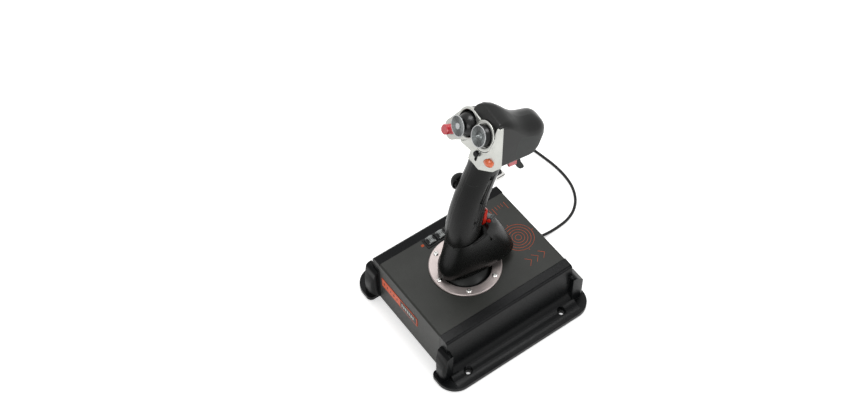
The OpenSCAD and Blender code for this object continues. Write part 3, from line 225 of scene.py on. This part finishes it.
def make_wheel_painted_light(name, wheel):
    """Grey ABS of a ribbed wheel: painted shade, black, in the grooves, and a painted highlight, pale, along the
    ribs.
    """
    low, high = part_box(wheel)
    material, tree, shader, place = new_material(name)
    centred = add(tree, "Mapping", {"Vector": place, "Location": (low + high) / 2, "Scale": (1, WHEEL_FLAT, 1)},
                  vector_type="TEXTURE")
    reach = add(tree, "VectorMath", {0: centred.outputs[0]}, operation="LENGTH").outputs["Value"]
    outer = (high.z - low.z) / 2
    # Painted light: dark below the rib tips as painted shade, pale at the tips as a painted highlight.
    share = add(tree, "MapRange", {"Value": reach, "From Min": outer - 0.9 * MM, "From Max": outer - 0.1 * MM})
    paint = add(tree, "Mix", {0: share.outputs[0], 6: linear("0c0d0d"), 7: linear("8d908f")}, data_type="RGBA")
    tree.links.new(paint.outputs[2], shader.inputs["Base Color"])
    shader.inputs["Roughness"].default_value = 0.38
    shader.inputs["Specular IOR Level"].default_value = 0.3
    return material


def make_dish_brush_and_sheen(name, place_of_hat):
    """Grey ABS with a metal fleck, brushed out from the middle, with two painted highlight lobes and two painted
    shade lobes that turn round the dish.
    """
    material, tree, shader, place = new_material(name)
    laid = add(tree, "Mapping", {"Vector": place, "Location": place_of_hat.to_translation(),
                                 "Rotation": place_of_hat.to_euler()}, vector_type="TEXTURE")
    angle = add(tree, "TexGradient", {"Vector": laid.outputs[0]}, gradient_type="RADIAL").outputs["Fac"]
    # Painted highlight and shade: two pale and two dark sectors round the dish, as a spun metal sheen.
    painted_sheen_lobes = add(tree, "Math", {0: angle, 1: 4 * math.pi}, operation="MULTIPLY")
    painted_sheen_lobes = add(tree, "Math", {0: painted_sheen_lobes.outputs[0]}, operation="SINE")
    brush = add(tree, "Math", {0: angle, 1: DISH_STROKES}, operation="MULTIPLY")
    brush = add(tree, "TexNoise", {"W": brush.outputs[0], "Scale": 1.0, "Detail": 2.0}, noise_dimensions="1D")
    share = add(tree, "Math", {0: painted_sheen_lobes.outputs[0], 1: 0.22, 2: brush.outputs[0]}, operation="MULTIPLY_ADD")
    share = add(tree, "MapRange", {"Value": share.outputs[0], "From Min": 0.2, "From Max": 0.8})
    paint = add(tree, "Mix", {0: share.outputs[0], 6: linear("262929"), 7: linear("7d8282")}, data_type="RGBA")
    tree.links.new(paint.outputs[2], shader.inputs["Base Color"])
    shader.inputs["Metallic"].default_value = 0.35
    shader.inputs["Roughness"].default_value = 0.3
    return material


DISH_STROKES = 40
WHEEL_FLAT = 1000
front_wheel_abs = make_wheel_painted_light("front_wheel_abs", "front_trim_wheel")
rear_wheel_abs = make_wheel_painted_light("rear_wheel_abs", "rear_trim_wheel")

FINISH_OF_NODE = {
    powder_coat: ["center_cover"],
    cast_enamel: ["left_side_casting", "right_side_casting"],
    zinc_plate: ["bottom_plate"],
    bright_nickel: ["bottom_screws", "ring_screws", "frame_screws", "trigger_pin", "pinky_pin", "wheel_axle",
                    "usb_shell"],
    black_rubber: ["rubber_feet", "cord_gland"],
    anodised_ring: ["trim_ring", "ring_backing"],
    label_film: ["front_label"],
    milled_aluminium: ["gimbal_frame", "gimbal_yoke", "left_hat_pivot", "right_hat_pivot"],
    bearing_bronze: ["pitch_bearings", "roll_bearings", "board_standoffs"],
    spring_wire: ["pitch_springs", "roll_spring", "trigger_spring"],
    blue_nylon: ["pitch_sensor", "roll_sensor"],
    board_resist: ["main_board", "head_board"],
    matt_abs: ["wheel_bracket", "head_switches", "mode_slider", "finger_button", "side_knob", "trigger"],
    front_wheel_abs: ["front_trim_wheel"],
    rear_wheel_abs: ["rear_trim_wheel"],
    ground_steel: ["stick_shaft"],
    satin_abs: ["dust_dome"],
    gloss_abs: ["hand_rest", "grip_left", "grip_right", "wing_back"],
    head_abs: ["head_shell"],
    black_oxide: ["grip_screws"],
    silver_lacquer: ["face_plate"],
    soft_touch: ["nose_cap"],
    hat_abs: ["left_hat", "right_hat"],
    pale_abs: ["left_hat_disc"],
    red_acrylic: ["red_button", "nose_button"],
    orange_abs: ["orange_button"],
    red_abs: ["pinky_lever", "pinky_button"],
    pvc_jacket: ["usb_cord", "cord_coil", "usb_plug"],
    grey_silicone: ["cord_tie"],
}
for material, names in FINISH_OF_NODE.items():
    for name in names:
        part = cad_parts[name]
        part.data.materials.clear()
        part.data.materials.append(material)


def piece(name, shape, body, material):
    """A finished mesh piece that moves with a body and takes the finish given."""
    mesh = bpy.data.meshes.new(name)
    shape.to_mesh(mesh)
    shape.free()
    mesh.materials.append(material)
    made = bpy.data.objects.new(name, mesh)
    bpy.context.scene.collection.objects.link(made)
    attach(made, body)
    return made


def smooth(made, angle=35):
    """Rounds the shading across edges flatter than angle, in degrees."""
    made.data.shade_smooth()
    made.data.set_sharp_from_angle(angle=math.radians(angle))


def refine(name, body, angle=35, bevel=0.0, flats=True):
    """A merged copy of a CAD node with smooth shading, and small rounds on its sharp edges."""
    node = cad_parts[name]
    shape = bmesh.new()
    shape.from_mesh(node.data)
    bmesh.ops.remove_doubles(shape, verts=shape.verts, dist=0.004 * MM)
    bmesh.ops.dissolve_limit(shape, angle_limit=math.radians(0.5), verts=shape.verts, edges=shape.edges)
    made = piece(name + "_finished", shape, body, node.data.materials[0])
    smooth(made, angle)
    if bevel:
        rounds = made.modifiers.new("rounds", "BEVEL")
        rounds.width = bevel * MM
        rounds.segments = 2
        rounds.limit_method = "ANGLE"
        rounds.angle_limit = math.radians(40)
    if flats:
        even = made.modifiers.new("even_flats", "WEIGHTED_NORMAL")
        even.keep_sharp = True
        even.weight = 80
    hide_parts(name)
    return made


# ---------------------------------------------------------------- cord

CORD_RADIUS = 1.7
CORD_EXIT = (-14, 102, 9)
CORD_ROUTE = [CORD_EXIT, (-14, 112, 5.2), (-14.5, 124, 2.2), (-15, 138, 1.7), (-17, 152, 1.7),
              (-23, 166, 1.7), (-34, 178, 1.7), (-50, 186.5, 1.7), (-68, 190, 1.7), (-87, 190, 1.7),
              (-106, 187.5, 1.7), (-124, 184.4, 1.7), (-140, 182.3, 1.7), (-153, 181.5, 1.7),
              (-162.6, 181.425, 1.7)]
COIL_AT = (-166, 156)
COIL_INNER, COIL_OUTER, LAYER = 14.7, 25.425, 3.9
TURNS_A_LAYER, TURNS = 2.75, 11.5


def curved(points, steps):
    """Points of one smooth curve through the points given."""
    line = [Vector(p) for p in points]
    line = [line[0] * 2 - line[1]] + line + [line[-1] * 2 - line[-2]]
    out = []
    for i in range(1, len(line) - 2):
        a, b, c, d = line[i - 1:i + 3]
        for k in range(steps):
            t = k / steps
            out.append(0.5 * (2 * b + (c - a) * t + (2 * a - 5 * b + 4 * c - d) * t ** 2
                              + (3 * b - a - 3 * c + d) * t ** 3))
    return out


def coil_point(turn):
    """A point of the coil: turns lie beside each other, out and in, and climb a layer at each end."""
    down = max(turn - 11, 0)
    climb = sum(min(max((turn - k * TURNS_A_LAYER + 0.25) / 0.5, 0), 1) for k in (1, 2, 3))
    fold = abs(1 - (turn / TURNS_A_LAYER) % 2) if turn <= 11 else 1
    radius = COIL_INNER + (COIL_OUTER - COIL_INNER) * fold + LAYER * min(4 * down, 1)
    angle = math.radians(90 + 360 * turn)
    height = CORD_RADIUS + LAYER * climb - 3 * LAYER * min(2 * down, 1)
    return Vector((COIL_AT[0] + radius * math.cos(angle), COIL_AT[1] + radius * math.sin(angle), height))


def make_cord():
    """One line from the strain relief across the table and round the coil to the plug."""
    points = curved(CORD_ROUTE, 4)
    points += [coil_point(k / 24) for k in range(int(TURNS * 24) + 1)]
    points.append(points[-1] + Vector((3.4, 0, 0)))
    curve = bpy.data.curves.new("cord", "CURVE")
    curve.dimensions = "3D"
    curve.bevel_depth = CORD_RADIUS * MM
    curve.bevel_resolution = 3
    curve.use_fill_caps = True
    line = curve.splines.new("POLY")
    line.points.add(len(points) - 1)
    for spot, at in zip(line.points, points):
        spot.co = (*(at * MM), 1)
    line.use_smooth = True
    curve.materials.append(pvc_jacket)
    cord = bpy.data.objects.new("cord", curve)
    bpy.context.scene.collection.objects.link(cord)
    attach(cord, "base")
    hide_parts("usb_cord", "cord_coil")


make_cord()

# ---------------------------------------------------------------- copies of CAD parts with rounded edges

REFINED = [
    ("left_side_casting", "base", "cast_coat", 40, 0.0), ("right_side_casting", "base", "cast_coat", 40, 0.0),
    ("center_cover", "base", "cover_coat", 30, 0.0), ("trim_ring", "base", "ring_aluminium", 30, 0.4),
    ("wheel_bracket", "base", "wheel_frame_plastic", 30, 0.0), ("dust_dome", "stick", "dome_plastic", 40, 0.0),
    ("hand_rest", "stick", "rest_plastic", 40, 0.0), ("grip_left", "stick", "grip_plastic", 40, 0.0),
    ("grip_right", "stick", "grip_plastic", 40, 0.0), ("wing_back", "stick", "grip_plastic", 40, 0.0),
    ("head_shell", "stick", "grip_plastic", 40, 0.0), ("face_plate", "stick", "face_paint", 40, 0.0),
    ("nose_cap", "stick", "nose_plastic", 40, 0.0), ("left_hat", "left_thumb_hat", "hat_plastic", 50, 0.0),
    ("right_hat", "right_thumb_hat", "hat_plastic", 50, 0.0), ("red_button", "red_push", "red_clear", 40, 0.0),
    ("orange_button", "orange_push", "orange_plastic", 40, 0.0), ("trigger", "trigger", "black_button_plastic", 40, 0.0),
    ("pinky_lever", "pinky", "lever_plastic", 40, 0.3), ("cord_gland", "base", "gland_rubber", 30, 0.0),
    ("side_knob", "knob", "black_button_plastic", 40, 0.0),
]
DOMED = ("dust_dome", "hand_rest", "grip_left", "grip_right", "left_hat", "right_hat", "side_knob")
for name, body, slot, angle, bevel in REFINED:
    refine(name, body, angle, bevel, flats=name not in DOMED)


def seam(name, source, at, across, width, body, material, keep=()):
    """A thin band that follows a part's skin between two parallel planes, as a moulding seam does.

    at and width are in millimetres, and keep holds more planes, each with the side to drop.
    """
    shape = bmesh.new()
    shape.from_mesh(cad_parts[source].data)
    bmesh.ops.remove_doubles(shape, verts=shape.verts, dist=0.004 * MM)
    at, across = Vector(at), Vector(across).normalized()
    planes = [(at + across * width / 2, across), (at - across * width / 2, -across)]
    planes += [(Vector(spot), Vector(out)) for spot, out in keep]
    for spot, out in planes:
        bmesh.ops.bisect_plane(shape, geom=shape.verts[:] + shape.edges[:] + shape.faces[:],
                               plane_co=spot * MM, plane_no=out, clear_outer=True)
    shape.normal_update()
    for vert in shape.verts:
        vert.co += vert.normal * SEAM_PROUD * MM
    bmesh.ops.solidify(shape, geom=shape.faces, thickness=2 * SEAM_PROUD * MM)
    return piece(name, shape, body, material)


SEAM_PROUD = 0.07
GRIP_TOP_SEAM, GRIP_SPINE = 217, (-7.5, -2.5)
for k, x in enumerate(GRIP_SPINE):
    seam(f"grip_spine_seam_{k}", "grip_left", (x, 0, 0), (1, 0, 0), 0.5, "stick", satin_abs,
         keep=[((0, 2, 0), (0, 1, 0)), ((0, 0, 234), (0, 0, 1))])
seam("grip_top_seam", "grip_right", (0, 0, GRIP_TOP_SEAM), (0.05, -0.35, 1), 0.5, "stick", satin_abs)

# ---------------------------------------------------------------- hats and face

HEAD = Matrix.Translation((0, 10 * MM, 0)) @ Matrix.Rotation(math.radians(-7), 4, "Z")
FACE_OUT = Vector((0, -0.907, 0.42)).normalized()
LEFT_RING_AT, RIGHT_RING_AT = Vector((-20.8, -6.3, 271.5)), Vector((6.2, -4.2, 279))
LEFT_HAT_OUT = Vector((0, -0.95, 0.31)).normalized()
LEFT_HAT_AT = LEFT_RING_AT - 3 * FACE_OUT + Vector((0, -0.5, -1.1))
RIGHT_HAT_AT = RIGHT_RING_AT - 3 * FACE_OUT
DISH_RADIUS, LEFT_DISH_AT, RIGHT_DISH_AT = 11, 14, 9.4
HEAD_SIDE = 20


def facing(at, out):
    """Where a shape made round the Z axis goes, to stand at a point of the head and face outwards."""
    turn = Vector((0, 0, 1)).rotation_difference(out).to_matrix().to_4x4()
    return HEAD @ Matrix.Translation(at * MM) @ turn


def lip(name, at, out, radius, half_width, height, body, material, side=None):
    """A rounded ring standing on the head, of a given radius at the middle of its lip."""
    shape = bmesh.new()
    made = bmesh.ops.create_circle(shape, segments=20, radius=1)["verts"]
    bmesh.ops.scale(shape, verts=made, vec=(half_width * MM, height * MM, 1))
    bmesh.ops.rotate(shape, verts=made, matrix=Matrix.Rotation(math.radians(90), 3, "X"))
    bmesh.ops.translate(shape, verts=made, vec=(radius * MM, 0, 0))
    bmesh.ops.spin(shape, geom=shape.verts[:] + shape.edges[:], cent=(0, 0, 0), axis=(0, 0, 1),
                   angle=math.radians(360), steps=72, use_merge=True, use_duplicate=False)
    bmesh.ops.recalc_face_normals(shape, faces=shape.faces)
    turn = Matrix.Translation(at * MM) @ Vector((0, 0, 1)).rotation_difference(out).to_matrix().to_4x4()
    bmesh.ops.transform(shape, verts=shape.verts, matrix=turn)
    if side:
        cut = bmesh.ops.bisect_plane(shape, geom=shape.verts[:] + shape.edges[:] + shape.faces[:],
                                     plane_co=(side * MM, 0, 0), plane_no=(1, 0, 0), clear_outer=True)
        rim = [e for e in cut["geom_cut"] if isinstance(e, bmesh.types.BMEdge)]
        bmesh.ops.holes_fill(shape, edges=rim)
    bmesh.ops.transform(shape, verts=shape.verts, matrix=HEAD)
    made = piece(name, shape, body, material)
    smooth(made, 60)
    return made


def paint_dish(hat, at, out, height):
    """Gives a hat's dish its brushed grey, with painted highlight and shade lobes."""
    hat.data.materials.append(make_dish_brush_and_sheen(hat.name + "_dish", facing(at, out)))
    back = facing(at, out).inverted()
    for face in hat.data.polygons:
        spot = back @ face.center
        if spot.z > (height - 0.3) * MM:
            face.material_index = 1


lip("left_ring_lip", LEFT_RING_AT, FACE_OUT, 15.15, 1.4, 0.9, "stick", silver_lacquer)
lip("right_ring_lip", RIGHT_RING_AT, FACE_OUT, 13.85, 1.85, 1.0, "stick", silver_lacquer, HEAD_SIDE)
# Painted shadow: a thin black ring round the right ring's lip, standing for the shade below the proud lip.
lip("right_ring_painted_shadow", RIGHT_RING_AT, FACE_OUT, 15.95, 0.28, 0.25, "stick", matt_abs, HEAD_SIDE)
paint_dish(bpy.data.objects["left_hat_finished"], LEFT_HAT_AT, LEFT_HAT_OUT, LEFT_DISH_AT)
paint_dish(bpy.data.objects["right_hat_finished"], RIGHT_HAT_AT, FACE_OUT, RIGHT_DISH_AT)
for name, at, out, height, body in (
    ("left_dish_rim", LEFT_HAT_AT, LEFT_HAT_OUT, LEFT_DISH_AT, "left_thumb_hat"),
    ("right_dish_rim", RIGHT_HAT_AT, FACE_OUT, RIGHT_DISH_AT, "right_thumb_hat"),
):
    lip(name, at + out * (height + 0.75), out, DISH_RADIUS - 0.4, 0.42, 0.3, body, pale_abs)

# ---------------------------------------------------------------- printing on the cover

COVER_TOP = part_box("center_cover")[1].z / MM
INK_THICK = 0.1
INK_LINE = 0.45
RINGS_AT = (4, 60)
RING_RADII = (3.5, 7, 10.5, 14, 17.5)
RING_STEPS = 120
RING_TICK_FROM, RING_TICK_TO = 18.5, 20.5
RULER_LEFT, RULER_FRONT = -44, 44
RULER_STEP, RULER_TICKS = 4, 9
RULER_SHORT, RULER_LONG = 5, 10
CHEVRON_X = 36
CHEVRON_YS = (48, 57, 66)
CHEVRON_REACH = 5.5
WHEEL_MARK = ((-48.5, -33), (-48.5, -29.6))
WHEEL_MARK_WIDE = 3


def strip(shape, start, end, width=INK_LINE):
    """A straight printed line between two points of the cover, in millimetres."""
    start, end = Vector((*start, 0)), Vector((*end, 0))
    along = (end - start).normalized()
    side = Vector((-along.y, along.x, 0)) * width / 2
    corners = [start - side, end - side, end + side, start + side]
    shape.faces.new([shape.verts.new(c * MM) for c in corners])


def ring(shape, centre, radius):
    """A plain printed circle round a point of the cover, in millimetres."""
    line = bmesh.new()
    for reach in (radius - INK_LINE / 2, radius + INK_LINE / 2):
        bmesh.ops.create_circle(line, segments=RING_STEPS, radius=reach * MM)
    bmesh.ops.bridge_loops(line, edges=line.edges)
    bmesh.ops.translate(line, verts=line.verts, vec=(centre[0] * MM, centre[1] * MM, 0))
    mesh = bpy.data.meshes.new("line")
    line.to_mesh(mesh)
    line.free()
    shape.from_mesh(mesh)
    bpy.data.meshes.remove(mesh)


def chevron(shape, x, y):
    """A printed chevron that points to the rear, drawn as one face."""
    arms = [(x - CHEVRON_REACH, y), (x, y + CHEVRON_REACH), (x + CHEVRON_REACH, y)]
    drop = INK_LINE * math.sqrt(2)
    corners = arms + [(px, py - drop) for px, py in reversed(arms)]
    shape.faces.new([shape.verts.new((px * MM, py * MM, 0)) for px, py in corners])


def cover_print():
    """A plain orange pattern behind the stick: rings with ticks, a ruled scale, chevrons and a wheel mark."""
    shape = bmesh.new()
    centre = Vector(RINGS_AT)
    for radius in RING_RADII:
        ring(shape, RINGS_AT, radius)
    for way in (Vector((1, 0)), Vector((0, 1)), Vector((-1, 0)), Vector((0, -1))):
        strip(shape, centre + way * RING_TICK_FROM, centre + way * RING_TICK_TO)
    for k in range(RULER_TICKS):
        y = RULER_FRONT + RULER_STEP * k
        length = RULER_LONG if k % 4 == 0 else RULER_SHORT
        strip(shape, (RULER_LEFT, y), (RULER_LEFT + length, y))
    for y in CHEVRON_YS:
        chevron(shape, CHEVRON_X, y)
    strip(shape, *WHEEL_MARK, WHEEL_MARK_WIDE)
    bmesh.ops.translate(shape, verts=shape.verts, vec=(0, 0, COVER_TOP * MM))
    bmesh.ops.recalc_face_normals(shape, faces=shape.faces)
    for face in shape.faces:
        if face.normal.z < 0:
            face.normal_flip()
    raised = bmesh.ops.extrude_face_region(shape, geom=shape.faces[:], use_keep_orig=True)
    top = [v for v in raised["geom"] if isinstance(v, bmesh.types.BMVert)]
    bmesh.ops.translate(shape, verts=top, vec=(0, 0, INK_THICK * MM))
    bmesh.ops.recalc_face_normals(shape, faces=shape.faces)
    return piece("cover_print", shape, "base", orange_ink)


def plate(name, boxes, material):
    """Flat printed patches on the front of the cover, each from its low corner to its high one, in millimetres."""
    shape = bmesh.new()
    for low, high in boxes:
        low, high = Vector(low) * MM, Vector(high) * MM
        made = bmesh.ops.create_cube(shape, size=1)["verts"]
        bmesh.ops.scale(shape, verts=made, vec=high - low)
        bmesh.ops.translate(shape, verts=made, vec=(low + high) / 2)
    return piece(name, shape, "base", material)


def label_print():
    """The front label: a solid orange bar with dark stripes, and an open frame with a row of pale bars."""
    low, high = (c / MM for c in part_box("front_label"))
    front, edge, split = low.y, 1.2, low.x + 35
    inside = [((split, front - 0.08, low.z + edge), (high.x - edge, front, high.z - edge))]
    inside += [((low.x + 4 + 6 * k, front - 0.08, low.z + 5), (low.x + 5.2 + 6 * k, front, high.z - 5))
               for k in range(5)]
    plate("label_window", inside, powder_coat)
    bars = [((split + 2.5 + 3.4 * k, front - 0.16, low.z + 4.4), (split + 4.3 + 3.4 * k, front - 0.02, high.z - 4.4))
            for k in range(7)]
    plate("label_bars", bars, white_ink)


cover_print()
label_print()

# ---------------------------------------------------------------- stage and lights


def make_floor():
    """A pale table that shows white to the camera and keeps the joystick's shadow."""
    shape = bmesh.new()
    bmesh.ops.create_grid(shape, x_segments=1, y_segments=1, size=6)
    mesh = bpy.data.meshes.new("floor")
    shape.to_mesh(mesh)
    shape.free()
    material, tree, shader, place = new_material("painted_table")
    paint = add(tree, "TexNoise", {"Vector": place, "Scale": 3.0})
    share = add(tree, "Mix", {0: paint.outputs[0], 6: linear("f2f2f1"), 7: linear("f5f5f4")}, data_type="RGBA")
    rays = add(tree, "LightPath")
    seen = add(tree, "Math", {0: rays.outputs["Is Camera Ray"], 1: rays.outputs["Is Glossy Ray"]},
               operation="MAXIMUM")
    seen = add(tree, "Math", {0: seen.outputs[0], 1: rays.outputs["Is Transmission Ray"]}, operation="MAXIMUM")
    lift = add(tree, "Math", {0: seen.outputs[0], 1: 0.45}, operation="MULTIPLY")
    tree.links.new(share.outputs[2], shader.inputs["Base Color"])
    shader.inputs["Roughness"].default_value = 0.9
    shader.inputs["Specular IOR Level"].default_value = 0.1
    shader.inputs["Emission Color"].default_value = (1, 1, 1, 1)
    tree.links.new(lift.outputs[0], shader.inputs["Emission Strength"])
    mesh.materials.append(material)
    floor = bpy.data.objects.new("floor", mesh)
    bpy.context.scene.collection.objects.link(floor)


def make_world():
    """An even white room."""
    world = bpy.data.worlds.new("room")
    world.use_nodes = True
    tree = world.node_tree
    room = tree.nodes["Background"]
    rays = add(tree, "LightPath")
    seen = add(tree, "Math", {0: rays.outputs["Is Camera Ray"], 1: rays.outputs["Is Glossy Ray"]},
               operation="MAXIMUM")
    seen = add(tree, "Math", {0: seen.outputs[0], 1: rays.outputs["Is Transmission Ray"]}, operation="MAXIMUM")
    level = add(tree, "MapRange", {"Value": seen.outputs[0], "To Min": 0.36, "To Max": 1.0})
    room.inputs["Color"].default_value = (1, 1, 1, 1)
    tree.links.new(level.outputs[0], room.inputs["Strength"])
    bpy.context.scene.world = world


def lamp(name, at, aim, size, power):
    """A square soft box at one point, aimed at another."""
    light = bpy.data.lights.new(name, "AREA")
    light.shape = "SQUARE"
    light.size = size
    light.energy = power
    made = bpy.data.objects.new(name, light)
    at, aim = Vector(at), Vector(aim)
    made.matrix_world = Matrix.Translation(at) @ (at - aim).to_track_quat("Z", "Y").to_matrix().to_4x4()
    bpy.context.scene.collection.objects.link(made)


make_floor()
make_world()
lamp("overhead_box", (-0.3, 0.35, 1.9), (0, 0, 0.1), 0.9, 24)
lamp("side_box", (1.5, 0.67, 1.1), (0, 0, 0.2), 0.6, 6)
lamp("front_box", (0.9, -1.3, 1.0), (0, 0, 0.1), 0.7, 7)

bpy.context.scene.view_settings.view_transform = "Standard"
